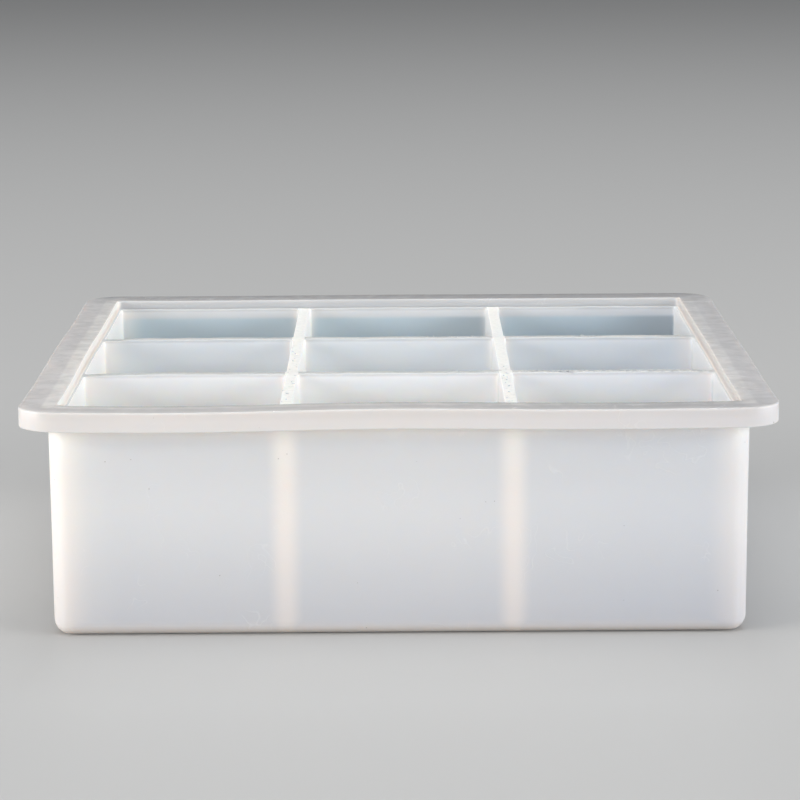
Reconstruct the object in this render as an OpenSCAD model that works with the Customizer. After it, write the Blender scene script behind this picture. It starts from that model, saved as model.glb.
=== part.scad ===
// Silicone soap mould with nine square cells in three rows of three.
// One soft moulding: a shallow box with leaning walls, a grid of dividers and a flat rim.
// It is modelled as the regions that the moulding is made of, which meet face to face.
// Millimetres, +Z up. The origin is the middle of the underside. The front faces -Y.

/* [Cells] */
// Width and length of each square cell at its mouth
cell_w = 50; // [40:1:70]
// Depth of each cell, from its mouth to its floor
cell_depth = 50; // [30:1:70]
// Slope of every cell face in degrees, so that a bar slides out
cell_draft = 0.7; // [0:0.1:1]
// Radius of the upright corner in each of the four outermost cells, at its mouth
cell_corner_r = 1.5; // [1.3:0.1:4]

/* [Walls] */
// Thickness of the outer walls at the cells' mouths
wall_t = 3.5; // [3:0.1:5]
// Thickness of the dividers at their tops
divider_t = 3; // [2:0.1:5]
// Thickness of the floor, and radius of the edge around its underside
floor_t = 2.8; // [2:0.1:3]
// Slope of the outer faces in degrees, so that the box narrows towards its base
outer_draft = 0.5; // [0:0.1:0.8]

/* [Rim] */
// How far the rim stands out from the top of the box
rim_overhang = 6.5; // [5:0.5:12]
// Thickness of the rim where it stands out
rim_t = 4.7; // [3:0.1:6]
// Radius of the rim's outer corners
rim_corner_r = 9; // [5:0.5:9]
// How far the tops of the dividers lie below the top of the rim
divider_drop = 2.2; // [0.5:0.1:2.5]
// Width of the ledge between the rim's inner edge and the cells' mouths
ledge_w = 1.2; // [0.5:0.1:2]

/* [Hidden] */

$fn = 96;
milky = [0.92, 0.93, 0.93];
milky_rim = [0.82, 0.82, 0.80];
milky_divider = [0.97, 0.97, 0.95];

// Heights: the cells' mouths, the underside of the rim and the top of the rim.
mouth_z = floor_t + cell_depth;
top_z = mouth_z + divider_drop;
rim_z = top_z - rim_t;

// Distances from the middle, at the cells' mouths.
divider_x = (cell_w + divider_t) / 2;
mouth_half = 1.5 * cell_w + divider_t;
corner_axis = mouth_half - cell_corner_r;

// Distances out from the line through the corner axes.
box_r = cell_corner_r + wall_t;
rim_out = box_r + rim_overhang;
rim_in = cell_corner_r + ledge_w;

// How far a cell face leans in between the cell's mouth and its floor.
cell_lean = cell_depth * tan(cell_draft);

// Turns about the middle that bring the right side, or the back right corner, to each place.
right = 0;
back = 90;
left = 180;
front = 270;

// How far a cutter runs past the face that it opens.
past = 1;

// Distance of the outer face from the corner axes' line, at height z.
function outer_r(z) = box_r - (mouth_z - z) * tan(outer_draft);

// Distance of the cell face from the same line, at height z.
function inner_r(z) = cell_corner_r - (mouth_z - z) * tan(cell_draft);

// Runs a section along one side of the box. Its x points out of the box and its y points up.
module along_side(turn)
    rotate([0, 0, turn])
        translate([corner_axis, 0, 0])
            rotate([90, 0, 0])
                linear_extrude(2 * corner_axis, center = true)
                    children();

// Turns the same section around one upright corner.
module around_corner(turn)
    rotate([0, 0, turn])
        translate([corner_axis, corner_axis, 0])
            rotate_extrude(angle = 90)
                children();

// Runs a section straight through the box, from left to right or from front to back.
module along_x()
    rotate([90, 0, 90])
        linear_extrude(4 * mouth_half, center = true)
            children();

module along_y()
    rotate([90, 0, 0])
        linear_extrude(4 * mouth_half, center = true)
            children();

// Section of the outer wall, which is thickest at the floor.
module wall_section()
    polygon([
        [inner_r(floor_t), floor_t],
        [outer_r(floor_t), floor_t],
        [outer_r(mouth_z), mouth_z],
        [inner_r(mouth_z), mouth_z]
    ]);

// Section of the base panel's edge, rounded so that it runs smoothly into the outer face.
module base_section() {
    round_x = outer_r(floor_t) - floor_t / cos(outer_draft);
    polygon([
        [0, 0],
        [round_x, 0],
        [round_x + floor_t * cos(outer_draft), floor_t * (1 - sin(outer_draft))],
        [outer_r(floor_t), floor_t],
        [0, floor_t]
    ]);
    intersection() {
        translate([round_x, floor_t])
            circle(floor_t);
        translate([round_x, 0])
            square(floor_t);
    }
}

// Section of the rim: a flange outside the wall, and a lip that stands on the wall's top.
module rim_section()
    polygon([
        [outer_r(rim_z), rim_z],
        [rim_out, rim_z],
        [rim_out, top_z],
        [rim_in, top_z],
        [rim_in, mouth_z],
        [outer_r(mouth_z), mouth_z]
    ]);

// Section of a divider, thinnest at its top.
module divider_section()
    polygon([
        [-divider_t / 2 - cell_lean, floor_t],
        [divider_t / 2 + cell_lean, floor_t],
        [divider_t / 2, mouth_z],
        [-divider_t / 2, mouth_z]
    ]);

// Section of the space between two facing cell faces, given where they stand at the mouth.
module gap_section(from, to)
    polygon([
        [from + cell_lean, floor_t],
        [to - cell_lean, floor_t],
        [to, mouth_z],
        [from, mouth_z]
    ]);

// The nine cells' floor, with the rounded edge of the box's underside.
module base_panel()
    color(milky) {
        translate([-corner_axis, -corner_axis, 0])
            cube([2 * corner_axis, 2 * corner_axis, floor_t]);
        for (turn = [right, back, left, front]) {
            along_side(turn) base_section();
            around_corner(turn) base_section();
        }
    }

module wall(turn)
    color(milky)
        along_side(turn) wall_section();

module wall_corner(turn)
    color(milky)
        around_corner(turn) wall_section();

module rim(turn)
    color(milky_rim)
        along_side(turn) rim_section();

// The rim's outer corner has a larger radius than the box and its own centre.
module rim_corner(turn)
    color(milky_rim)
        rotate([0, 0, turn])
            translate([corner_axis, corner_axis, 0])
                difference() {
                    translate([0, 0, rim_z])
                        linear_extrude(rim_t)
                            rim_corner_plan();
                    translate([0, 0, rim_z - past])
                        cylinder(
                            h = mouth_z - rim_z + past,
                            r1 = outer_r(rim_z - past),
                            r2 = outer_r(mouth_z)
                        );
                    translate([0, 0, mouth_z - past])
                        cylinder(h = divider_drop + 2 * past, r = rim_in);
                }

module rim_corner_plan() {
    square([rim_out - rim_corner_r, rim_out]);
    square([rim_out, rim_out - rim_corner_r]);
    intersection() {
        translate([rim_out - rim_corner_r, rim_out - rim_corner_r])
            circle(rim_corner_r);
        square(rim_out);
    }
}

// A divider that runs from the left wall to the right wall, in front of or behind the middle.
module cross_divider(side)
    color(milky_divider)
        intersection() {
            along_x() translate([side * divider_x, 0]) divider_section();
            along_y() gap_section(-mouth_half, mouth_half);
        }

// The stretch of a front-to-back divider that crosses one row of cells: -1 front, 0 middle, 1 back.
module divider_stretch(side, row)
    color(milky_divider)
        intersection() {
            along_y() translate([side * divider_x, 0]) divider_section();
            along_x() row_gap(row);
        }

module row_gap(row) {
    middle = row * (cell_w + divider_t);
    gap_section(middle - cell_w / 2, middle + cell_w / 2);
}

base_panel();
wall(front);  // front_wall
wall(right);  // right_wall
wall(back);  // back_wall
wall(left);  // left_wall
wall_corner(front);  // front_right_corner
wall_corner(right);  // back_right_corner
wall_corner(back);  // back_left_corner
wall_corner(left);  // front_left_corner
cross_divider(-1);  // front_cross_divider
cross_divider(1);  // back_cross_divider
divider_stretch(-1, -1);  // left_divider_front
divider_stretch(-1, 0);  // left_divider_middle
divider_stretch(-1, 1);  // left_divider_back
divider_stretch(1, -1);  // right_divider_front
divider_stretch(1, 0);  // right_divider_middle
divider_stretch(1, 1);  // right_divider_back
rim(front);  // front_rim
rim(right);  // right_rim
rim(back);  // back_rim
rim(left);  // left_rim
rim_corner(front);  // front_right_rim_corner
rim_corner(right);  // back_right_rim_corner
rim_corner(back);  // back_left_rim_corner
rim_corner(left);  // front_left_rim_corner
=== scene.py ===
# %% [markdown]
# # A silicone soap mould with nine square cells
#
# The object is one soft moulding: a shallow box with leaning walls, a grid of thin dividers that
# makes nine cube cells, and a flat rim that stands out all round. This lesson dresses the packed
# CAD model. The CAD nodes hold the sizes, and everything below is worked out from them.

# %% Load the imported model
import math

import bpy
from mathutils import Matrix, Vector


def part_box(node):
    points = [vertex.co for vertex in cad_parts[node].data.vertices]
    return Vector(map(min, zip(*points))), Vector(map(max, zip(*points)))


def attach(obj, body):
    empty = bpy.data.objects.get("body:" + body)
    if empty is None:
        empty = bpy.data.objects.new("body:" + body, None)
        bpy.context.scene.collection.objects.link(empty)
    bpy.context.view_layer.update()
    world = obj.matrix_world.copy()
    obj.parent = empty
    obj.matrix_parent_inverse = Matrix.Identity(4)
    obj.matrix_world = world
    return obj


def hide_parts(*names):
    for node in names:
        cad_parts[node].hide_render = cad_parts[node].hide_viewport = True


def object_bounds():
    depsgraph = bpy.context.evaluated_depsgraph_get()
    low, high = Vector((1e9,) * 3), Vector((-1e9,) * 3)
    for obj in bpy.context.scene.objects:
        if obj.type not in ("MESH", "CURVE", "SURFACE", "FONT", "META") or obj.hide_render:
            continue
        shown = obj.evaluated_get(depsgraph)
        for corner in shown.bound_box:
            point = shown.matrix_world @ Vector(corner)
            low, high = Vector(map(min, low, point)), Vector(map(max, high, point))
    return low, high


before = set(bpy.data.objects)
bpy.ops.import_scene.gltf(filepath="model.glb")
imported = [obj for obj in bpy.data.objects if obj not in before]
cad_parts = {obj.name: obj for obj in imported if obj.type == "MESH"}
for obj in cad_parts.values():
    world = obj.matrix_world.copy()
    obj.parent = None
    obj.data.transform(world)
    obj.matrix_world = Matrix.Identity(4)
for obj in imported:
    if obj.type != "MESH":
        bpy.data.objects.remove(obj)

cad_low, cad_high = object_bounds()
MM = 0.001
print("CAD box in mm:", [round(side / MM, 1) for side in cad_high - cad_low])

# %% [markdown]
# ## Sizes
#
# A mould maker would draw this part as one section and one grid. The numbers that the drawing
# needs are all in the CAD nodes' boxes: the walls give the box, the dividers give the cells, and
# the rim gives the flange. Only small roundings, which the CAD leaves out, are named here.

# %% Read the mould's sizes from the CAD nodes
base_low, base_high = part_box("base_panel")
wall_low, wall_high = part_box("front_wall")
rim_low, rim_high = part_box("front_rim")
cross_low, cross_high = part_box("front_cross_divider")
stretch_low, stretch_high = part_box("left_divider_middle")

floor_z = base_high.z
mouth_z = wall_high.z
rim_under_z = rim_low.z
top_z = cad_high.z

mouth_half = cross_high.x
corner_axis = wall_high.x
cell = stretch_high.y - stretch_low.y
divider = mouth_half - 1.5 * cell
pitch = cell + divider
cell_lean = (stretch_high.x - stretch_low.x - divider) / 2
box_half = -wall_low.y
base_half = base_high.x
rim_half = cad_high.x
lip_half = -rim_high.y
ledge = lip_half - mouth_half

rim_corner = 9.0 * MM
cell_corner = 1.2 * MM
floor_fillet = 1.6 * MM
mouth_round = 0.3 * MM
rim_round = 0.30 * MM
rim_fillet = 0.7 * MM
base_round = 1.3 * floor_z
measured = (cell, divider, ledge, cell_lean)
print("cell, divider, ledge, draft lean in mm:", [round(value / MM, 2) for value in measured])

# %% [markdown]
# ## Writing node maths as expressions
#
# Both the shape and the finish are node trees. Wiring Math nodes one by one hides the formula, so
# one small class wraps a socket and turns +, -, * and / into nodes. Everything else goes through
# one method that takes a node's type, its settings and what its sockets get.

# %% A graph that reads as Python
class Value:
    """A number that flows through a node tree."""

    def __init__(self, graph, socket):
        self.graph = graph
        self.socket = socket

    def maths(self, operation, *others):
        inputs = dict(enumerate((self, *others)))
        return self.graph.value("ShaderNodeMath", {"operation": operation}, inputs)

    def __add__(self, other):
        return self.maths("ADD", other)

    def __radd__(self, other):
        return self.maths("ADD", other)

    def __sub__(self, other):
        return self.maths("SUBTRACT", other)

    def __rsub__(self, other):
        return self.graph.number(other).maths("SUBTRACT", self)

    def __mul__(self, other):
        return self.maths("MULTIPLY", other)

    def __rmul__(self, other):
        return self.maths("MULTIPLY", other)

    def __truediv__(self, other):
        return self.maths("DIVIDE", other)

    def __rtruediv__(self, other):
        return self.graph.number(other).maths("DIVIDE", self)

    def __neg__(self):
        return self.maths("MULTIPLY", -1.0)

    def __abs__(self):
        return self.maths("ABSOLUTE")

    def least(self, other):
        return self.maths("MINIMUM", other)

    def most(self, other):
        return self.maths("MAXIMUM", other)

    def sine(self):
        return self.maths("SINE")

    def root(self):
        return self.maths("SQRT")

    def whole(self):
        return self.maths("FLOOR")

    def sign(self):
        return self.maths("SIGN")

    def ramp(self, low, high, to_low=0.0, to_high=1.0):
        """A smooth step from to_low at low to to_high at high."""
        settings = {"interpolation_type": "SMOOTHSTEP"}
        inputs = {0: self, 1: low, 2: high, 3: to_low, 4: to_high}
        return self.graph.value("ShaderNodeMapRange", settings, inputs)


class Graph:
    """A node tree that is written as expressions."""

    def __init__(self, tree):
        self.tree = tree

    def node(self, kind, settings=None, inputs=None):
        """Adds one node: first its settings, then a value or a link for each socket named in inputs."""
        made = self.tree.nodes.new(kind)
        for name, setting in (settings or {}).items():
            setattr(made, name, setting)
        self.fill(made, inputs or {})
        return made

    def fill(self, made, inputs):
        for key, given in inputs.items():
            socket = made.inputs[key]
            source = given.socket if isinstance(given, Value) else given
            if isinstance(source, bpy.types.NodeSocket):
                self.tree.links.new(source, socket)
            else:
                socket.default_value = source

    def value(self, kind, settings=None, inputs=None, output=0):
        return Value(self, self.node(kind, settings, inputs).outputs[output])

    def number(self, given):
        """A plain number as a value, for 1 - mask and the like."""
        return self.value("ShaderNodeMath", {"operation": "ADD"}, {0: given, 1: 0.0})

    def split(self, vector):
        parts = self.node("ShaderNodeSeparateXYZ", None, {0: vector}).outputs
        return [Value(self, part) for part in parts]

    def vector(self, x, y, z):
        return self.value("ShaderNodeCombineXYZ", None, {0: x, 1: y, 2: z})


print("graph helpers ready")

# %% [markdown]
# ## The section that runs round the mould
#
# A cell wall, its rounded foot and its mouth are one line, and so are the lip, rim, outer wall and
# base edge. Each line is a short polyline of corners in Geometry Nodes. Fillet Curve rounds the
# corners, and Subdivide Curve adds rows on the long stretches so that the soft walls can bow.

# %% Build a filleted section
FILLET_POINTS = 5
LONGEST_ROW = 4.0 * MM


def by_index(graph, kind, items):
    """Picks an item by the point's own index."""
    node = graph.node("GeometryNodeIndexSwitch", {"data_type": kind})
    while len(node.index_switch_items) < len(items):
        node.index_switch_items.new()
    graph.fill(node, {place + 1: item for place, item in enumerate(items)})
    graph.fill(node, {0: graph.value("GeometryNodeInputIndex")})
    return Value(graph, node.outputs[0])


def section_curve(graph, corners):
    """A section through (distance out, height, rounding) corners, as a curve in the XZ plane."""
    line = graph.value("GeometryNodeMeshLine", None, {"Count": len(corners)})
    places = by_index(graph, "VECTOR", [graph.vector(out, 0.0, z) for out, z, _ in corners])
    line = graph.value("GeometryNodeSetPosition", None, {"Geometry": line, "Position": places})
    curve = graph.value("GeometryNodeMeshToCurve", None, {"Mesh": line})
    rounding = by_index(graph, "FLOAT", [radius for _, _, radius in corners])
    fillet = {"Curve": curve, "Count": FILLET_POINTS, "Radius": rounding, "Limit Radius": True}
    curve = graph.value("GeometryNodeFilletCurve", {"mode": "POLY"}, fillet)
    return split_long_rows(graph, curve)


def split_long_rows(graph, curve):
    """Cuts each stretch that is longer than a row may be."""
    position = graph.value("GeometryNodeInputPosition")
    index = graph.value("GeometryNodeInputIndex")
    settings = {"data_type": "FLOAT_VECTOR"}
    ahead = {"Geometry": curve, "Value": position, "Index": index + 1.0}
    following = graph.value("GeometryNodeSampleIndex", settings, ahead)
    gap = {0: position, 1: following}
    length = graph.value("ShaderNodeVectorMath", {"operation": "DISTANCE"}, gap, output=1)
    cuts = (length / LONGEST_ROW).whole()
    return graph.value("GeometryNodeSubdivideCurve", None, {"Curve": curve, "Cuts": cuts})


print("a fillet has", FILLET_POINTS, "points")

# %% [markdown]
# ## Sweeping a section round a square
#
# Seen from above, every line of the mould is a square with rounded corners. A flat grid is the raw
# sheet: one direction walks round the square, the other walks along the section. Points close up
# towards the corners, by a sine, so that small corner radii stay round without a heavy mesh.

# %% Sweep the section and close it with a flat patch
STEPS_PER_CELL = 34


def closer_at_corners(way):
    """Moves points from even spacing, -1 to 1, to a spacing that closes up at both ends."""
    return (way * (math.pi / 2)).sine()


def along_cells(way, cells):
    """The same spacing repeated for a number of cells along one side."""
    along = (way + 1.0) * (cells / 2)
    place = along.whole().least(cells - 1.0)
    inside = (along - place) * 2.0 - 1.0
    return (place * 2.0 + 1.0 - cells + closer_at_corners(inside)) / cells


def sweep(graph, section, cells, corner_radius):
    """Runs a section round a square that is a number of cells wide."""
    sides = 4
    rows = graph.value("GeometryNodeAttributeDomainSize", {"component": "CURVE"}, {"Geometry": section})
    steps = sides * cells * STEPS_PER_CELL
    sheet = {"Size X": 1.0, "Size Y": 1.0, "Vertices X": steps + 1, "Vertices Y": rows}
    sheet = graph.value("GeometryNodeMeshGrid", None, sheet)

    across, up, _ = graph.split(graph.value("GeometryNodeInputPosition"))
    row = ((up + 0.5) * (rows - 1.0)).maths("ROUND")
    settings = {"data_type": "FLOAT_VECTOR"}
    spot = {"Geometry": section, "Value": graph.value("GeometryNodeInputPosition"), "Index": row}
    half, _, height = graph.split(graph.value("GeometryNodeSampleIndex", settings, spot))

    step = ((across + 0.5) * steps).maths("ROUND") / (cells * STEPS_PER_CELL)
    side = step.whole().least(sides - 1.0)
    lateral = along_cells((step - side) * 2.0 - 1.0, cells) * half

    radius = corner_radius(half).most(1e-6)
    straight = half - radius
    beyond = (abs(lateral) - straight).most(0.0)
    shrink = radius / (radius * radius + beyond * beyond).root()
    out = straight + radius * shrink
    sideways = lateral.sign() * (abs(lateral).least(straight) + beyond * shrink)
    turn = {"Vector": graph.vector(out, sideways, height), "Angle": side * (math.pi / 2)}
    place = graph.value("ShaderNodeVectorRotate", {"rotation_type": "Z_AXIS"}, turn)
    return graph.value("GeometryNodeSetPosition", None, {"Geometry": sheet, "Position": place})


def patch(graph, half, height, cells):
    """The flat square that closes the inner end of a swept section."""
    points = cells * STEPS_PER_CELL + 1
    sheet = {"Size X": 2.0, "Size Y": 2.0, "Vertices X": points, "Vertices Y": points}
    sheet = graph.value("GeometryNodeMeshGrid", None, sheet)
    x, y, _ = graph.split(graph.value("GeometryNodeInputPosition"))
    place = graph.vector(along_cells(x, cells) * half, along_cells(y, cells) * half, height)
    return graph.value("GeometryNodeSetPosition", None, {"Geometry": sheet, "Position": place})


def join(graph, *parts):
    """Joins geometry from several sockets."""
    node = graph.node("GeometryNodeJoinGeometry")
    for part in parts:
        graph.tree.links.new(part.socket, node.inputs[0])
    return Value(graph, node.outputs[0])


print("each side of a cell has", STEPS_PER_CELL, "steps")

# %% [markdown]
# ## One cell, and the nine of them
#
# All nine cells are alike, so one is drawn and instanced on a three by three grid of points. A cell
# reaches to the middle of the dividers round it. Where two cells meet their edge points are the same,
# so a merge by distance turns nine pieces into one sheet, and the dividers are the gaps between.

# %% The cell and its grid
CELLS = 3


def one_cell(graph, size):
    mouth = size["Cell Width"] / 2
    foot = mouth - size["Cell Lean"]
    inner = foot - floor_fillet * 2.5
    edge = size["Pitch"] / 2
    section = section_curve(graph, [
        (edge, size["Mouth Height"], 0.0),
        (mouth, size["Mouth Height"], mouth_round),
        (foot, size["Floor Height"], floor_fillet),
        (inner, size["Floor Height"], 0.0),
    ])
    back_to_square = cell_corner / (edge - mouth)

    def corner_radius(half):
        return (half - (mouth - cell_corner)).least((edge - half) * back_to_square)

    walls = sweep(graph, section, 1, corner_radius)
    floor = patch(graph, inner, size["Floor Height"], 1)
    return join(graph, walls, floor)


def grid_of_cells(graph, size):
    span = size["Pitch"] * (CELLS - 1)
    points = {"Size X": span, "Size Y": span, "Vertices X": CELLS, "Vertices Y": CELLS}
    points = graph.value("GeometryNodeMeshGrid", None, points)
    placed = {"Points": points, "Instance": one_cell(graph, size)}
    placed = graph.value("GeometryNodeInstanceOnPoints", None, placed)
    cells = graph.value("GeometryNodeRealizeInstances", None, {"Geometry": placed})
    return round_outer_corners(graph, cells, size)


def round_outer_corners(graph, cells, size):
    """Bends the grid's four square corners onto the arc at the foot of the lip."""
    x, y, z = graph.split(graph.value("GeometryNodeInputPosition"))
    axis = size["Corner Axis"]
    over_x = (abs(x) - axis).most(0.0)
    over_y = (abs(y) - axis).most(0.0)
    distance = (over_x * over_x + over_y * over_y).root().most(1e-9)
    onto_arc = over_x.most(over_y) / distance
    outside = abs(x).most(abs(y)) - size["Mouth Half"]
    share = (outside / (size["Divider"] / 2)).most(0.0).least(1.0)
    both = over_x.least(over_y).maths("GREATER_THAN", 1e-7)
    scale = 1.0 + (onto_arc - 1.0) * share * both
    new_x = x.sign() * (abs(x).least(axis) + over_x * scale)
    new_y = y.sign() * (abs(y).least(axis) + over_y * scale)
    place = {"Geometry": cells, "Position": graph.vector(new_x, new_y, z)}
    return graph.value("GeometryNodeSetPosition", None, place)


print("cells:", CELLS * CELLS)

# %% [markdown]
# ## The lip, the rim, the outer wall and the underside
#
# The second sweep starts where the cells end. Its section climbs the lip, crosses the rim, turns
# under it, runs down the leaning wall and round the base edge, and ends in the flat underside.
# The rim's corners are wider than the box's, so the corner radius grows faster beyond the wall.

# %% The outer shell
def outer_shell(graph, size):
    slope = (size["Box Half"] - size["Base Half"]) / (size["Mouth Height"] - size["Floor Height"])
    spare = size["Divider"] / 2 - size["Ledge"]
    lip = size["Lip Half"] + spare
    wall_top = size["Box Half"] + spare - slope * (size["Mouth Height"] - size["Rim Underside"])
    wall_foot = size["Base Half"] + spare - slope * size["Floor Height"]
    edge = size["Rim Half"] + spare
    section = section_curve(graph, [
        (lip, size["Mouth Height"], 0.0),
        (lip, size["Rim Top"], rim_round),
        (edge, size["Rim Top"], rim_round),
        (edge, size["Rim Underside"], rim_round),
        (wall_top, size["Rim Underside"], rim_fillet),
        (wall_foot, 0.0, base_round),
        (size["Corner Axis"], 0.0, 0.0),
    ])
    box_edge = size["Box Half"] + spare
    widening = (size["Rim Corner"] + spare - (box_edge - size["Corner Axis"])) / (edge - box_edge)

    def corner_radius(half):
        return half - size["Corner Axis"] - (half - box_edge).most(0.0) * (1.0 - widening)

    walls = sweep(graph, section, CELLS, corner_radius)
    underside = patch(graph, size["Corner Axis"], 0.0, CELLS)
    return graph.value("GeometryNodeFlipFaces", None, {0: join(graph, walls, underside)})


def draw_in_ledge(graph, mould, size):
    """The cells are drawn with half a divider all round. This narrows the outermost one to the ledge."""
    x, y, z = graph.split(graph.value("GeometryNodeInputPosition"))
    half_divider = size["Divider"] / 2
    share = 1.0 - size["Ledge"] / half_divider

    def drawn_in(way):
        return way - way.sign() * (abs(way) - size["Mouth Half"]).most(0.0).least(half_divider) * share

    place = {"Geometry": mould, "Position": graph.vector(drawn_in(x), drawn_in(y), z)}
    return graph.value("GeometryNodeSetPosition", None, place)


print("outer section ready")

# %% [markdown]
# ## Soft silicone never stands quite straight
#
# Each side of the rim droops a little over the outer cells, where no divider holds it up, and stays
# high in the middle and at the corners. The dividers' tops are not perfectly level either. Every
# movement is under a millimetre and only goes inwards or down, so the mould stays inside its CAD
# box. The base stays flat on the bench.

# %% Let the mould relax
SEED = 4.0
RIM_SAG = 0.68 * MM
BACK_SAG_SHARE = 0.15
EDGE_WANDER = 0.16 * MM
WALL_BOW = 0.20 * MM
TOP_UNEVEN = 0.16 * MM
BUMP_SIZE = 5 * MM
BOW_LENGTH = 60 * MM
WANDER_LENGTH = 40 * MM
SAG_REACH = 12 * MM
STILL_MIDDLE = 20 * MM


def noise(graph, blob, seed):
    """Smooth noise from 0 to 1 with blobs of about the given size."""
    settings = {"noise_dimensions": "4D"}
    position = graph.value("GeometryNodeInputPosition")
    inputs = {"Vector": position, "W": seed, "Scale": 1 / blob, "Detail": 1.0}
    return graph.value("ShaderNodeTexNoise", settings, inputs)


def droop(x, y, size):
    """0 at the middle of a side, 1 over the middle of its outer cells, less at the corners."""
    along = abs(x).least(abs(y))
    wave = (along * (math.pi / 2) / size["Pitch"]).sine()
    towards_back = y.ramp(0.0, size["Mouth Half"])
    return wave * wave * (1.0 - towards_back * (1.0 - BACK_SAG_SHARE))


def relax(graph, mould, size):
    x, y, z = graph.split(graph.value("GeometryNodeInputPosition"))
    height = z / size["Rim Top"]
    near_top = height.ramp(0.5, 1.0)
    away_from_base = height.ramp(0.05, 0.6)
    outward = abs(x).most(abs(y))
    mouth = size["Mouth Half"]
    beyond_wall = outward.ramp(size["Box Half"], size["Rim Half"])
    at_rim = outward.ramp(mouth - SAG_REACH, mouth)

    uneven = x.ramp(-mouth, mouth, 1.0, 0.6)
    sag = droop(x, y, size) * uneven * size["Rim Sag"] * near_top * at_rim
    on_divider = (abs(z - size["Mouth Height"]) / MM).ramp(0.6, 0.2)
    bumps = noise(graph, BUMP_SIZE, SEED + 2).ramp(0.35, 0.75) * size["Top Unevenness"] * on_divider

    bow_x = noise(graph, BOW_LENGTH, SEED + 3) * size["Wall Bow"] * away_from_base
    bow_y = noise(graph, BOW_LENGTH, SEED + 4) * size["Wall Bow"] * away_from_base
    wander = noise(graph, WANDER_LENGTH, SEED + 5).ramp(0.3, 0.7) * size["Edge Wander"] * beyond_wall
    off_middle_x = (abs(x) / STILL_MIDDLE).least(1.0)
    off_middle_y = (abs(y) / STILL_MIDDLE).least(1.0)
    new_x = x - x.sign() * (bow_x + wander) * off_middle_x
    new_y = y - y.sign() * (bow_y + wander) * off_middle_y
    place = {"Geometry": mould, "Position": graph.vector(new_x, new_y, z - sag - bumps)}
    return graph.value("GeometryNodeSetPosition", None, place)


print("largest sag in mm:", round(RIM_SAG / MM, 2))

# %% [markdown]
# ## The whole moulding as one Geometry Nodes tree
#
# The tree has a named input for every size, so the same tree could draw a mould with deeper cells
# or a wider rim. It ends in Realize Instances and Set Material. The result is then turned into a
# plain mesh, because the piece that goes on the frame carries no live modifier.

# %% Build the tree and its modifier
def tree_with_inputs(name, sizes):
    """A Geometry Nodes tree with one float input for each named size."""
    tree = bpy.data.node_groups.new(name, "GeometryNodeTree")
    tree.interface.new_socket("Geometry", in_out="OUTPUT", socket_type="NodeSocketGeometry")
    keys = {}
    for label in sizes:
        socket = tree.interface.new_socket(label, in_out="INPUT", socket_type="NodeSocketFloat")
        keys[label] = socket.identifier
    graph = Graph(tree)
    entry = tree.nodes.new("NodeGroupInput")
    return graph, {label: Value(graph, entry.outputs[label]) for label in sizes}, keys


def finish_tree(graph, geometry, material):
    """Realizes, smooths and paints the geometry, and hands it to the group's output."""
    geometry = graph.value("GeometryNodeRealizeInstances", None, {"Geometry": geometry})
    geometry = graph.value("GeometryNodeSetShadeSmooth", None, {"Geometry": geometry})
    painted = {"Geometry": geometry, "Material": material}
    geometry = graph.value("GeometryNodeSetMaterial", None, painted)
    graph.tree.links.new(geometry.socket, graph.tree.nodes.new("NodeGroupOutput").inputs[0])


def made_from_tree(name, graph, keys, sizes, material):
    """Runs the tree on an empty object and returns the result as a plain mesh object."""
    carrier = bpy.data.objects.new(name + "_maker", bpy.data.meshes.new(name + "_maker"))
    bpy.context.scene.collection.objects.link(carrier)
    modifier = carrier.modifiers.new("maker", "NODES")
    modifier.node_group = graph.tree
    for label, key in keys.items():
        modifier[key] = sizes[label]
    depsgraph = bpy.context.evaluated_depsgraph_get()
    mesh = bpy.data.meshes.new_from_object(carrier.evaluated_get(depsgraph))
    carrier.modifiers.remove(modifier)
    bpy.data.objects.remove(carrier)
    mesh.name = name
    mesh.materials.clear()
    mesh.materials.append(material)
    piece = bpy.data.objects.new(name, mesh)
    bpy.context.scene.collection.objects.link(piece)
    return piece


MOULD_SIZES = {
    "Cell Width": cell, "Cell Lean": cell_lean, "Pitch": pitch, "Divider": divider, "Ledge": ledge,
    "Mouth Height": mouth_z, "Floor Height": floor_z, "Mouth Half": mouth_half,
    "Corner Axis": corner_axis, "Lip Half": lip_half, "Box Half": box_half, "Base Half": base_half,
    "Rim Half": rim_half, "Rim Corner": rim_corner, "Rim Top": top_z, "Rim Underside": rim_under_z,
    "Rim Sag": RIM_SAG, "Edge Wander": EDGE_WANDER, "Wall Bow": WALL_BOW, "Top Unevenness": TOP_UNEVEN,
}
MERGE = 0.004 * MM

silicone = bpy.data.materials.new("milky_silicone")
graph, size, keys = tree_with_inputs("soap_mould", MOULD_SIZES)
both = join(graph, grid_of_cells(graph, size), outer_shell(graph, size))
both = graph.value("GeometryNodeMergeByDistance", None, {"Geometry": both, "Distance": MERGE})
both = relax(graph, draw_in_ledge(graph, both, size), size)
finish_tree(graph, both, silicone)
mould = made_from_tree("silicone_mould", graph, keys, MOULD_SIZES, silicone)
print("mould:", len(mould.data.vertices), "points,", len(mould.data.polygons), "faces")

# %% [markdown]
# ## Is the skin closed, and the right way out?
#
# Light only scatters properly in a closed body. Each edge of a closed skin belongs to two faces, and
# the volume that the triangles span from the origin is positive when the faces point outwards. Both
# are quick to count, so they are counted rather than looked for.

# %% Check that the skin is closed and faces outwards
def signed_volume(mesh):
    """The volume inside a mesh, negative where its faces point inwards."""
    mesh.calc_loop_triangles()
    total = 0.0
    for triangle in mesh.loop_triangles:
        a, b, c = (mesh.vertices[i].co for i in triangle.vertices)
        total += a.dot(b.cross(c)) / 6
    return total


def open_edges(mesh):
    """How many edges don't belong to exactly two faces."""
    uses = {}
    for face in mesh.polygons:
        for key in face.edge_keys:
            uses[key] = uses.get(key, 0) + 1
    return sum(count != 2 for count in uses.values())


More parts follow.
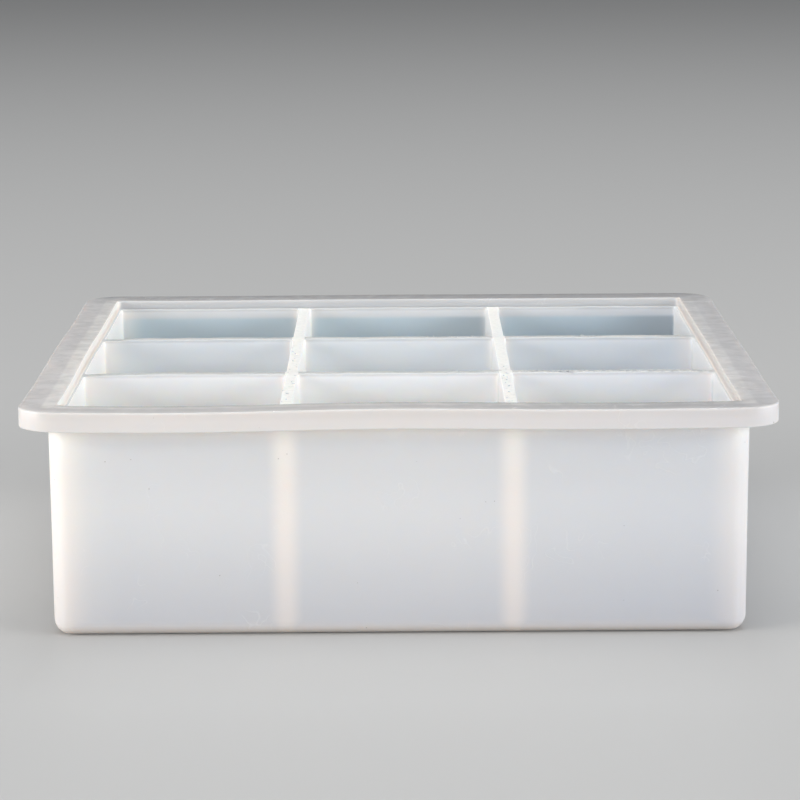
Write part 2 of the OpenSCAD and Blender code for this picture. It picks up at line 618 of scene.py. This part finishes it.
print("volume in cubic cm:", round(signed_volume(mould.data) * 1e6, 1))
print("open edges:", open_edges(mould.data))

# %% [markdown]
# ## Milky silicone
#
# Platinum-cured silicone is a clear rubber full of very fine filler. Light goes in, scatters and comes
# out a few millimetres away, which a Principled shader shows as subsurface scattering. Its settings are
# the same all over the skin. How bright a place looks also depends on what stands behind it, so tints
# are painted on top by place, in the mould's own coordinates, and stay put in every view.
#
# Colours are blended by Mix nodes, because a Math node would turn them grey.

# %% Rubber settings and colour helpers
SCATTER_RADIUS = (1.0, 0.86, 0.74)
SCATTER_DEPTH = 2.6 * MM
SILICONE_IOR = 1.41


def mix(graph, share, first, second):
    """Blends two colours."""
    settings = {"data_type": "RGBA"}
    return graph.value("ShaderNodeMix", settings, {0: share, 6: first, 7: second}, output=2)


def tint(graph, share, colour, filter_colour):
    """Multiplies a colour by a filter, as much as share says."""
    settings = {"data_type": "RGBA", "blend_type": "MULTIPLY"}
    return graph.value("ShaderNodeMix", settings, {0: share, 6: colour, 7: filter_colour}, output=2)


def shader_noise(graph, place, blob, detail=2.0, distortion=0.0):
    """Smooth noise on the skin, from 0 to 1, with blobs of about the given size."""
    inputs = {"Vector": place, "Scale": 1 / blob, "Detail": detail, "Distortion": distortion}
    return graph.value("ShaderNodeTexNoise", None, inputs)


print("light comes out again about", round(SCATTER_DEPTH / MM, 1), "mm away")

# %% [markdown]
# ## Where a point lies on the skin
#
# Every tint asks the same questions: how far a point is from the middle, how high it is, which way it
# faces, and whether it is in a cell. The answers are masks from 0 to 1, and they are made once, here.
# The facing comes from the object's own normal, so that it doesn't follow the camera. Two noises, a
# coarse one and a fine one, are shared as well, so that colour, gloss and relief vary together.

# %% Masks that the tints share
MOTTLE = 5.0 * MM
FLECK = 1.2 * MM
JOINT_REACH = 4.6 * MM
CORNER_REACH = 9.0 * MM
FLOOR_REACH = 2.6 * MM


def where_walls_meet(x, y, z):
    """How much a point lies where two of the mould's walls, dividers or floor meet."""
    wall_middle = (mouth_half + box_half) / 2

    def near_plate(way):
        to_divider = abs(abs(way) - pitch / 2).ramp(0.3 * MM, JOINT_REACH, 1.0, 0.0)
        to_wall = (wall_middle - abs(way)).ramp(1.5 * MM, CORNER_REACH, 0.7, 0.0)
        return to_divider.most(to_wall)

    by_floor = abs(z - floor_z / 2).ramp(0.2 * MM, FLOOR_REACH, 1.0, 0.0)
    by_x = near_plate(x)
    by_y = near_plate(y)
    return (by_x * by_y).most(by_x.most(by_y) * by_floor * 0.6)


class Spot:
    """Where a shaded point lies on the mould, and which way it faces."""

    def __init__(self, graph):
        coordinates = graph.node("ShaderNodeTexCoord").outputs
        self.place = Value(graph, coordinates["Object"])
        self.x, self.y, self.z = graph.split(self.place)
        self.facing_x, _, self.facing_z = graph.split(Value(graph, coordinates["Normal"]))
        self.outward = abs(self.x).most(abs(self.y))
        self.inside = self.outward.ramp(mouth_half + 0.3 * MM, mouth_half + 0.6 * MM, 1.0, 0.0)
        self.beyond_lip = (self.outward - lip_half).ramp(-0.1 * MM, 0.1 * MM)
        self.near_mouth = self.z.ramp(mouth_z - 1 * MM, mouth_z)
        self.facing_up = self.facing_z.ramp(0.55, 0.9)
        self.facing_right = self.facing_x.ramp(0.4, 0.9)
        self.facing_left = self.facing_x.ramp(-0.9, -0.4, 1.0, 0.0)
        self.on_rim = self.facing_up * self.beyond_lip
        self.joint = where_walls_meet(self.x, self.y, self.z)
        self.mottle = shader_noise(graph, self.place, MOTTLE, 4.0).ramp(0.25, 0.75)
        self.fleck = shader_noise(graph, self.place, FLECK, 3.0).ramp(0.35, 0.75)


print("a divider glows", round(JOINT_REACH / MM, 1), "mm to each side through a wall")

# %% [markdown]
# ## The outside walls and the rim's edge
#
# A wall is plain and cool over an open cell. Where a divider or a corner backs it, more light comes
# through, and a warm pale band of painted glow shows on the outside. Painted glow also lightens the wall
# just under the rim and at its left end, and warms its rounded base edge a little. Painted shade darkens
# the wall towards its foot and the top of the rim's face. The rim's face is a little warm. Each of these
# is one soft ramp over a height or a distance, laid over the one before.

# %% Colour of the outside
PLAIN_WALL = (0.722, 0.728, 0.740, 1.0)
PAINTED_TOP_GLOW = (0.870, 0.845, 0.815, 1.0)
PAINTED_LEFT_GLOW = (0.900, 0.880, 0.840, 1.0)
PAINTED_WARM_GLOW = (0.942, 0.872, 0.815, 1.0)
PAINTED_BRIGHT_GLOW = (1.000, 0.960, 0.905, 1.0)
RIM_FACE = (0.735, 0.712, 0.700, 1.0)
EDGE_SHADE = (0.840, 0.840, 0.840, 1.0)
FOOT_SHADE = (0.800, 0.803, 0.828, 1.0)
PAINTED_BASE_GLOW = (1.000, 0.940, 0.865, 1.0)
TOP_GLOW_DEPTH = 5 * MM
LEFT_GLOW_REACH = 18 * MM
LEFT_GLOW_SHARE = 0.45
CLOUD = 30 * MM
FACE_TOP = 3.2 * MM
FOOT_HEIGHT = 34 * MM
BASE_EDGE = 2.6 * MM


def colour_outside(graph, spot):
    # Painted glow just under the rim, standing in for light that bounces between the rim and the wall.
    under_rim = spot.z.ramp(rim_under_z - TOP_GLOW_DEPTH, rim_under_z - 0.5 * MM)
    colour = mix(graph, under_rim, PLAIN_WALL, PAINTED_TOP_GLOW)
    # Painted glow at the left end, where the left lamp's light comes round the corner.
    left_glow = spot.x.ramp(-box_half, -box_half + LEFT_GLOW_REACH, LEFT_GLOW_SHARE, 0.0)
    colour = mix(graph, left_glow, colour, PAINTED_LEFT_GLOW)

    # Painted glow: a warm pale band where a divider or a corner backs the wall, brighter towards the
    # rim.
    cloud = shader_noise(graph, spot.place, CLOUD) - 0.5
    joint = (spot.joint * 0.9 + cloud * 0.15).most(0.0).least(1.0)
    glow_colour = mix(graph, spot.z.ramp(0.6 * mouth_z, rim_under_z), PAINTED_WARM_GLOW, PAINTED_BRIGHT_GLOW)
    colour = mix(graph, joint, colour, glow_colour)

    rim_face = spot.outward.ramp(box_half + 0.4 * MM, box_half + 1.4 * MM)
    colour = mix(graph, rim_face, colour, RIM_FACE)
    # Painted shade on the top of the rim's face tones down the highlight of its rounded edge.
    face_top = spot.outward.ramp(rim_half - 1.5 * MM, rim_half - 0.5 * MM)
    face_top = face_top * spot.z.ramp(top_z - FACE_TOP, top_z - 0.4 * MM)
    colour = tint(graph, face_top * 0.7, colour, EDGE_SHADE)

    # Painted shade towards the foot, then a painted warm glow on the rounded base edge.
    foot = spot.z.ramp(0.0, FOOT_HEIGHT, 1.0, 0.0) * (1.0 - joint * 0.25)
    colour = tint(graph, foot, colour, FOOT_SHADE)
    return tint(graph, spot.z.ramp(0.4 * MM, BASE_EDGE, 1.0, 0.0), colour, PAINTED_BASE_GLOW)


print("the foot shades off over", round(FOOT_HEIGHT / MM), "mm")

# %% [markdown]
# ## The cells
#
# Less light reaches the far cells, so painted shade cools the dividers' faces from white to grey-blue
# towards the back and leaves the end walls dimmest below the rim, which backs them above. The sides of
# the lengthwise dividers face the lights: painted light keeps the ones that face right the brightest,
# and painted shade dims the ones that face left. Painted glow warms the joints.

# %% Colour of the inside
NEAR_DIVIDER = (0.948, 0.956, 0.974, 1.0)
SHADED_FAR_DIVIDER = (0.785, 0.825, 0.862, 1.0)
RIDGE_SHADE = (0.860, 0.865, 0.870, 1.0)
RIM_BACKED = (0.680, 0.700, 0.720, 1.0)
DIM_WALL = (0.570, 0.660, 0.715, 1.0)
END_SHADE = (0.720, 0.700, 0.700, 1.0)
MOUTH_SHADE = (0.740, 0.745, 0.750, 1.0)
PAINTED_LIGHT_AND_CRUST = (0.990, 0.975, 0.905, 1.0)
SHADED_SIDE = (0.740, 0.740, 0.735, 1.0)
RIDGE_FADE = 7 * MM


def colour_inside(graph, spot):
    # Painted shade: the faces cool towards the back, where less light reaches.
    to_back = spot.y.ramp(-0.45 * pitch, 0.55 * pitch) * (1.0 - abs(spot.facing_z) * 0.7)
    colour = mix(graph, to_back, NEAR_DIVIDER, SHADED_FAR_DIVIDER)
    # Painted shade on the upper part of the faces, towards the mouths.
    colour = tint(graph, spot.z.ramp(mouth_z - RIDGE_FADE, mouth_z), colour, RIDGE_SHADE)

    # Painted shade on the end walls: dim below the rim, lighter where the rim backs them, darker still
    # at each cell's right.
    below_rim = spot.z.ramp(rim_under_z - 0.9 * MM, rim_under_z + 0.3 * MM, 1.0, 0.0)
    end_wall = abs(spot.y).ramp(mouth_half - 2.6 * MM, mouth_half - 1.4 * MM)
    colour = mix(graph, end_wall, colour, mix(graph, below_rim, RIM_BACKED, DIM_WALL))
    across_cell = (spot.x / pitch + 0.5).maths("FRACT")
    right_part = across_cell.ramp(0.5, 1.0) * spot.x.ramp(-mouth_half, mouth_half)
    colour = tint(graph, right_part * end_wall * below_rim, colour, END_SHADE)

    # Painted glow where walls meet, weaker on the back wall's right half.
    dim_joint = end_wall * spot.x.ramp(0.0, mouth_half) * spot.y.ramp(-1 * MM, 1 * MM)
    colour = mix(graph, spot.joint * (0.9 - dim_joint * 0.8), colour, PAINTED_WARM_GLOW)
    # Painted shade on the mouths' rounded edges tones down their highlight.
    colour = tint(graph, spot.z.ramp(mouth_z - 1.2 * MM, mouth_z - 0.3 * MM), colour, MOUTH_SHADE)
    # Painted light on the sides that face right, painted shade on those that face left.
    colour = mix(graph, spot.facing_right, colour, PAINTED_LIGHT_AND_CRUST)
    return mix(graph, spot.facing_left, colour, SHADED_SIDE)


print("divider tops fade over", round(RIDGE_FADE / MM), "mm")

# %% [markdown]
# ## The lip, the rim's top and the dividers' tops
#
# The flat faces that look up are what a hand and a scraper touch. The rim's top has a mottled grey
# tone, with painted shade that deepens towards the back and the right, and a glossy skin: a coat with a
# high refractive index looks greyer at a low angle and nearly clear from above, as the real face does.
# Painted light keeps the dividers' tops nearly white along the mould, painted shade greys them across
# it, and the front one is torn and crusty over its right third.

# %% Colour of the faces that look up
LIP_GREY = (0.540, 0.550, 0.565, 1.0)
LIP_SHADE = (0.600, 0.570, 0.550, 1.0)
LEDGE_SHADE = (0.820, 0.800, 0.780, 1.0)
RIM_MOTTLE_AND_SHADE = (0.450, 0.444, 0.448, 1.0)
PAINTED_RIDGE_SHADE = (0.560, 0.570, 0.570, 1.0)
SKIN_IOR = 2.0
SKIN_ROUGHNESS = 0.18
CORNER_BLEND = 14 * MM
CRUST = 0.9 * MM


def paint_lip(graph, spot, colour):
    """The step from the rim's top down to the cells' mouths, and the narrow ledge at its foot."""
    lip = (spot.outward - mouth_half).ramp(-0.2 * MM, 0.2 * MM) * spot.near_mouth
    lip = lip * (spot.outward - lip_half).ramp(0.1 * MM, 0.4 * MM, 1.0, 0.0)
    front_or_back = (abs(spot.y) - abs(spot.x)).ramp(-1 * MM, 1 * MM)
    # Painted glow on the lip's sides, painted shade on those that face left; painted shade on the ledge
    # below.
    side_lip = mix(graph, spot.facing_left, PAINTED_WARM_GLOW, LIP_SHADE)
    colour = mix(graph, lip, colour, mix(graph, front_or_back, side_lip, LIP_GREY))
    on_ledge = (spot.outward - mouth_half).ramp(-0.6 * MM, -0.2 * MM) * (1.0 - spot.beyond_lip)
    return tint(graph, on_ledge * spot.near_mouth * spot.facing_up, colour, LEDGE_SHADE)


def paint_rim_top(graph, spot, colour):
    """A mottled grey tone, with painted shade that deepens towards the back and the right. Returns the
    colour and the gloss.
    """
    front_or_back = (abs(spot.y) - abs(spot.x)).ramp(-CORNER_BLEND, CORNER_BLEND)
    to_back = spot.y.ramp(-mouth_half, rim_half)
    to_right = spot.x.ramp(-0.5 * pitch, mouth_half)
    # A mottled tone, plus painted shade towards the back and the right, lighter near the outer edge.
    mottle_and_shade = spot.mottle * 0.24 + spot.fleck * 0.12 + to_back * (0.28 + front_or_back * 0.64)
    mottle_and_shade = mottle_and_shade - 0.07 - front_or_back * 0.16 + to_right * (0.12 + front_or_back * 0.44)
    mottle_and_shade = mottle_and_shade * (rim_half - spot.outward).ramp(0.4 * MM, 2.6 * MM, 0.6, 1.0)
    colour = mix(graph, (spot.on_rim * mottle_and_shade).most(0.0).least(1.0), colour, RIM_MOTTLE_AND_SHADE)
    # Painted shade on the rounded edges tones down their highlight.
    rounded_edge = spot.facing_z.ramp(0.15, 0.45) * (1.0 - spot.facing_z.ramp(0.80, 0.97))
    colour = tint(graph, rounded_edge * spot.beyond_lip, colour, EDGE_SHADE)
    gloss = spot.on_rim * (0.47 + spot.mottle * 0.30 + front_or_back * 0.36).least(1.0)
    return colour, gloss


def paint_divider_tops(graph, spot, colour):
    """Painted light keeps them nearly white along the mould, painted shade greys them across it, and
    they are crusty at the front right.
    """
    on_top = spot.facing_up * spot.z.ramp(mouth_z - 2 * MM, mouth_z - 1 * MM) * spot.inside
    lengthwise = abs(abs(spot.x) - pitch / 2).ramp(1.5 * MM, 1.8 * MM, 1.0, 0.0)
    front_right = spot.x.ramp(18 * MM, 30 * MM) * spot.y.ramp(-1 * MM, 1 * MM, 1.0, 0.0)
    crust = shader_noise(graph, spot.place, CRUST, 3.0).ramp(0.50, 0.60) * 0.4
    crust = crust * (mouth_half - spot.outward).ramp(0.5 * MM, 1.5 * MM) * (0.3 + front_right * 0.7)
    # Painted light on the lengthwise tops, painted shade on the others; the crust is pale flash.
    pale = (lengthwise * (1.0 - spot.fleck * 0.25)).most(crust)
    return mix(graph, on_top, colour, mix(graph, pale, PAINTED_RIDGE_SHADE, PAINTED_LIGHT_AND_CRUST))


print("gloss on the rim's top has an index of", SKIN_IOR)

# %% [markdown]
# ## Dust and lint
#
# Silicone holds a charge and is never quite clean. A few dark specks sit on the outside, white dust on
# the rim, and fine curled hairs here and there. A speck is the middle of a Voronoi cell, and most cells
# are left out by chance. A hair is a stretch of a noise's contour line, so it curls by itself.

# %% Specks and hairs
SPECK = (0.18, 0.16, 0.14, 1.0)
DUST_WHITE = (1.0, 1.0, 0.98, 1.0)
SPECK_EDGE = 0.08 * MM


def specks(graph, place, spacing, smallest, largest, share):
    """Tiny dots scattered over the skin. Only the given share of them is kept."""
    inputs = {"Vector": place, "Scale": 1 / spacing, "Randomness": 1.0}
    node = graph.node("ShaderNodeTexVoronoi", None, inputs)
    distance = Value(graph, node.outputs["Distance"])
    chance, size_chance, _ = graph.split(Value(graph, node.outputs["Color"]))
    radius = (size_chance * (largest - smallest) + smallest) / spacing
    return (radius - distance).ramp(0.0, SPECK_EDGE / spacing) * chance.maths("LESS_THAN", share)


def lint(graph, place):
    """Sparse, fine curled hairs, from the contour lines of a soft noise."""
    lines = abs(shader_noise(graph, place, 6 * MM, 1.0, 0.6) - 0.5).ramp(0.0, 0.014, 1.0, 0.0)
    patches = shader_noise(graph, place, 11 * MM, 0.0).ramp(0.60, 0.66)
    return lines * patches


def paint_dust(graph, spot, colour):
    """Returns the colour with dust and lint on it, and how far they stand up."""
    outside = 1.0 - spot.inside
    dark = specks(graph, spot.place, 2.0 * MM, 0.12 * MM, 0.24 * MM, 0.07) * outside
    colour = mix(graph, dark * 0.6, colour, SPECK)
    pale = specks(graph, spot.place, 1.5 * MM, 0.12 * MM, 0.26 * MM, 0.10) * spot.on_rim
    colour = mix(graph, pale, colour, DUST_WHITE)
    hairs = lint(graph, spot.place) * outside
    colour = mix(graph, hairs * (0.10 + spot.on_rim * 0.35), colour, DUST_WHITE)
    return colour, hairs * 0.9 + dark * 0.3


print("dust helpers ready")

# %% [markdown]
# ## Put the finish together
#
# The layers are laid over each other in the order in which they lie on the mould: the rubber, painted
# cool shade towards the right, the lip, the rim's top, the dividers' tops, and dust last. A weak bump
# adds the satin unevenness of a moulded skin. Only what varies is linked. All the rest is set on the
# shader's own sockets.

# %% Build the silicone
PAINTED_COOL_SHADE_RIGHT = (0.932, 0.945, 0.970, 1.0)
SATIN = 0.46
GRAIN = 0.5 * MM
UNEVENNESS = 3.5 * MM
RELIEF = 0.06 * MM


def paint_silicone(material):
    material.use_nodes = True
    graph = Graph(material.node_tree)
    spot = Spot(graph)
    colour = mix(graph, spot.inside, colour_outside(graph, spot), colour_inside(graph, spot))
    # Painted cool shade towards the right.
    colour = tint(graph, spot.x.ramp(-0.1 * mouth_half, mouth_half), colour, PAINTED_COOL_SHADE_RIGHT)
    colour = paint_lip(graph, spot, colour)
    colour, gloss = paint_rim_top(graph, spot, colour)
    colour = paint_divider_tops(graph, spot, colour)
    colour, standing = paint_dust(graph, spot, colour)

    grain = shader_noise(graph, spot.place, GRAIN)
    skin = shader_noise(graph, spot.place, UNEVENNESS)
    height = skin * 0.5 + grain * 0.12 + spot.fleck * spot.facing_up * 0.25 + standing
    bump = {"Strength": 0.4, "Distance": RELIEF, "Height": height}
    rough = SATIN + (spot.mottle - 0.5) * 0.10 + (grain - 0.5) * 0.06 + spot.facing_up * 0.08
    graph.fill(material.node_tree.nodes["Principled BSDF"], {
        "Base Color": colour, "Roughness": rough, "IOR": SILICONE_IOR,
        "Normal": graph.value("ShaderNodeBump", None, bump),
        "Subsurface Weight": 1.0, "Subsurface Radius": SCATTER_RADIUS,
        "Subsurface Scale": SCATTER_DEPTH,
        "Coat Weight": gloss, "Coat IOR": SKIN_IOR, "Coat Roughness": SKIN_ROUGHNESS,
    })


paint_silicone(silicone)
print("silicone nodes:", len(silicone.node_tree.nodes))

# %% [markdown]
# ## Flash along the divider tops
#
# When the moulding is pulled from its tool, thin silicone squeezed along the parting line tears and
# leaves ragged crumbs on top of the dividers. They could be a bump, but they stand up against the
# darker cell behind, so they are real shapes. Geometry Nodes scatter one small blob along a few
# stretches of each divider, with a random turn and size for each crumb and a fixed seed.

# %% Scatter the crumbs of flash
CRUMB = 0.30 * MM
SPREAD = 1.1 * MM
CRUMB_SINK = 0.12 * MM


def random_vector(graph, low, high, seed):
    settings = {"data_type": "FLOAT_VECTOR"}
    return graph.value("FunctionNodeRandomValue", settings, {0: low, 1: high, "Seed": seed})


def ragged_blob(graph):
    """A closed blob about one unit in radius, pushed in and out by noise."""
    blob = graph.value("GeometryNodeMeshIcoSphere", None, {"Radius": 1.0, "Subdivisions": 2})
    lumps = noise(graph, 0.9, SEED + 6) - 0.5
    normal = graph.value("GeometryNodeInputNormal")
    push = {0: normal, "Scale": lumps * 1.5}
    offset = graph.value("ShaderNodeVectorMath", {"operation": "SCALE"}, push)
    return graph.value("GeometryNodeSetPosition", None, {"Geometry": blob, "Offset": offset})


def crumb_row(graph, size, start, end, count, seed):
    """Crumbs along one stretch of a divider's top, from start to end."""
    ends = {"Count": count, "Start Location": start, "Offset": end}
    line = graph.value("GeometryNodeMeshLine", {"mode": "END_POINTS"}, ends)
    lowest = (-SPREAD, -SPREAD, -0.08 * MM)
    highest = (SPREAD, SPREAD, 0.10 * MM)
    stray = random_vector(graph, lowest, highest, seed)
    line = graph.value("GeometryNodeSetPosition", None, {"Geometry": line, "Offset": stray})
    scale = random_vector(graph, (0.5, 0.35, 0.35), (1.9, 0.9, 1.1), seed + 1)
    sizing = {0: scale, "Scale": size["Crumb Size"]}
    sized = graph.value("ShaderNodeVectorMath", {"operation": "SCALE"}, sizing)
    turn = random_vector(graph, (-0.4, -0.4, 0.0), (0.4, 0.4, 2 * math.pi), seed + 2)
    placed = {"Points": line, "Instance": ragged_blob(graph), "Rotation": turn, "Scale": sized}
    return graph.value("GeometryNodeInstanceOnPoints", None, placed)


def crumb_rows(graph, size):
    """Most crumbs are on the front cross divider's right third. The rest lie here and there."""
    off_middle = pitch / 2
    top = mouth_z - CRUMB_SINK

    def across(y, start, end):
        return (start * MM, y, top), (end * MM, y, top)

    def lengthwise(x, start, end):
        return (x, start * MM, top), (x, end * MM, top)

    stretches = [
        (across(-off_middle, 31, 69), 78),
        (across(-off_middle, 12, 20), 9),
        (across(off_middle, 8, 22), 12),
        (across(off_middle, 44, 52), 8),
        (lengthwise(off_middle, -70, -20), 22),
        (lengthwise(-off_middle, -74, 10), 22),
    ]
    rows = []
    for place, ((start, end), count) in enumerate(stretches):
        rows.append(crumb_row(graph, size, start, end, count, 10 * place))
    return join(graph, *rows)


flash_sizes = {"Crumb Size": CRUMB}
graph, size, keys = tree_with_inputs("divider_flash", flash_sizes)
finish_tree(graph, crumb_rows(graph, size), silicone)
flash = made_from_tree("divider_flash", graph, keys, flash_sizes, silicone)
print("flash:", len(flash.data.polygons), "faces, open edges:", open_edges(flash.data))

# %% [markdown]
# ## Put the skin and the flash on the frame
#
# The real moulding is one piece with no seams, so one skin stands for every CAD node, and the crumbs
# of flash ride along with it. Both are the same rubber. MuJoCo keeps the nodes for collision.

# %% Hand both pieces to the frame
for piece in (mould, flash):
    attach(piece, "root")
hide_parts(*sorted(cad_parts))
print("nodes replaced:", len(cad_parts))

# %% [markdown]
# ## The floor
#
# The mould stands on a plain pale sheet. One large square is enough, since its edges are far out of
# sight. It is part of the stage and not of the object, so it is not put on the frame.

# %% A plain pale floor
FLOOR_SIZE = 9.0
FLOOR_COLOUR = (0.55, 0.55, 0.545, 1.0)
FLOOR_ROUGHNESS = 0.6


def make_floor():
    half = FLOOR_SIZE / 2
    mesh = bpy.data.meshes.new("floor")
    corners = [(-half, -half, 0), (half, -half, 0), (half, half, 0), (-half, half, 0)]
    mesh.from_pydata(corners, [], [(0, 1, 2, 3)])
    paper = bpy.data.materials.new("pale_floor")
    paper.use_nodes = True
    graph = Graph(paper.node_tree)
    finish = {"Base Color": FLOOR_COLOUR, "Roughness": FLOOR_ROUGHNESS}
    graph.fill(paper.node_tree.nodes["Principled BSDF"], finish)
    mesh.materials.append(paper)
    floor = bpy.data.objects.new("floor", mesh)
    bpy.context.scene.collection.objects.link(floor)


make_floor()
print("floor:", FLOOR_SIZE, "m square")

# %% [markdown]
# ## The lights
#
# Milky things are lit from the sides on a packshot table. Two broad soft panels, one at each side and
# a little in front, run light through the walls, make the corners glow and leave the wide front wall
# even. A small panel in front fills it, one high behind lifts the rim, and one overhead keeps the
# cells open. The view transform is the plain one, so that white stays white.

# %% Soft studio lights
SIDE_PANEL = (1.8, 1.0)
FRONT_PANEL = (1.2, 0.8)
BACK_PANEL = (1.0, 1.0)
OVERHEAD_PANEL = (1.5, 1.5)
WARM = (1.0, 0.985, 0.965)
MILD = (1.0, 0.99, 0.98)
COOL = (0.97, 0.985, 1.0)
WHITE = (1.0, 1.0, 1.0)
SKY = (0.95, 0.97, 1.0, 1.0)
SKY_STRENGTH = 0.20


def softbox(name, azimuth, elevation, distance, size, power, colour):
    """A soft panel that looks at the mould. Azimuth 0 is in front, and grows to the right."""
    light = bpy.data.lights.new(name, "AREA")
    light.shape = "RECTANGLE"
    light.size, light.size_y = size
    light.energy = power
    light.color = colour
    lamp = bpy.data.objects.new(name, light)
    around = math.radians(azimuth)
    up = math.radians(elevation)
    flat = math.cos(up) * distance
    middle = top_z / 2
    place = Vector((math.sin(around) * flat, -math.cos(around) * flat, math.sin(up) * distance + middle))
    turn = (Vector((0, 0, middle)) - place).to_track_quat("-Z", "Y")
    lamp.matrix_world = Matrix.Translation(place) @ turn.to_matrix().to_4x4()
    bpy.context.scene.collection.objects.link(lamp)


softbox("left_panel", -69, 13, 2.7, SIDE_PANEL, 60.0, WARM)
softbox("right_panel", 71, 13, 2.7, SIDE_PANEL, 50.0, COOL)
softbox("front_panel", 3, 10, 3.0, FRONT_PANEL, 15.0, MILD)
softbox("back_panel", 172, 62, 2.4, BACK_PANEL, 7.0, COOL)
softbox("overhead_panel", 0, 82, 1.8, OVERHEAD_PANEL, 15.0, WHITE)

world = bpy.data.worlds.new("studio")
world.use_nodes = True
background = world.node_tree.nodes["Background"]
background.inputs["Color"].default_value = SKY
background.inputs["Strength"].default_value = SKY_STRENGTH
bpy.context.scene.world = world
bpy.context.scene.view_settings.view_transform = "Standard"

# %% [markdown]
# ## The camera
#
# It stands about three quarters of a metre in front of the mould, looks down a little, and has a
# long lens, so the sides hardly converge. A hair of roll about its own axis keeps the mould level.

# %% Camera
CAMERA_RIGHT = 0.0003
CAMERA_BACK = 0.7734
CAMERA_UP = 0.1844
CAMERA_PITCH = 10.52
CAMERA_ROLL = -0.37
LENS = 137.7
SENSOR = 36.0


def make_camera():
    data = bpy.data.cameras.new("camera")
    data.lens = LENS
    data.sensor_width = SENSOR
    camera = bpy.data.objects.new("camera", data)
    pitch_turn = Matrix.Rotation(math.radians(90 - CAMERA_PITCH), 4, "X")
    roll_turn = Matrix.Rotation(math.radians(CAMERA_ROLL), 4, "Z")
    place = Matrix.Translation((CAMERA_RIGHT, -CAMERA_BACK, CAMERA_UP))
    camera.matrix_world = place @ pitch_turn @ roll_turn
    bpy.context.scene.collection.objects.link(camera)
    bpy.context.scene.camera = camera


make_camera()
print("camera:", CAMERA_BACK, "m back,", CAMERA_UP, "m up,", LENS, "mm lens")
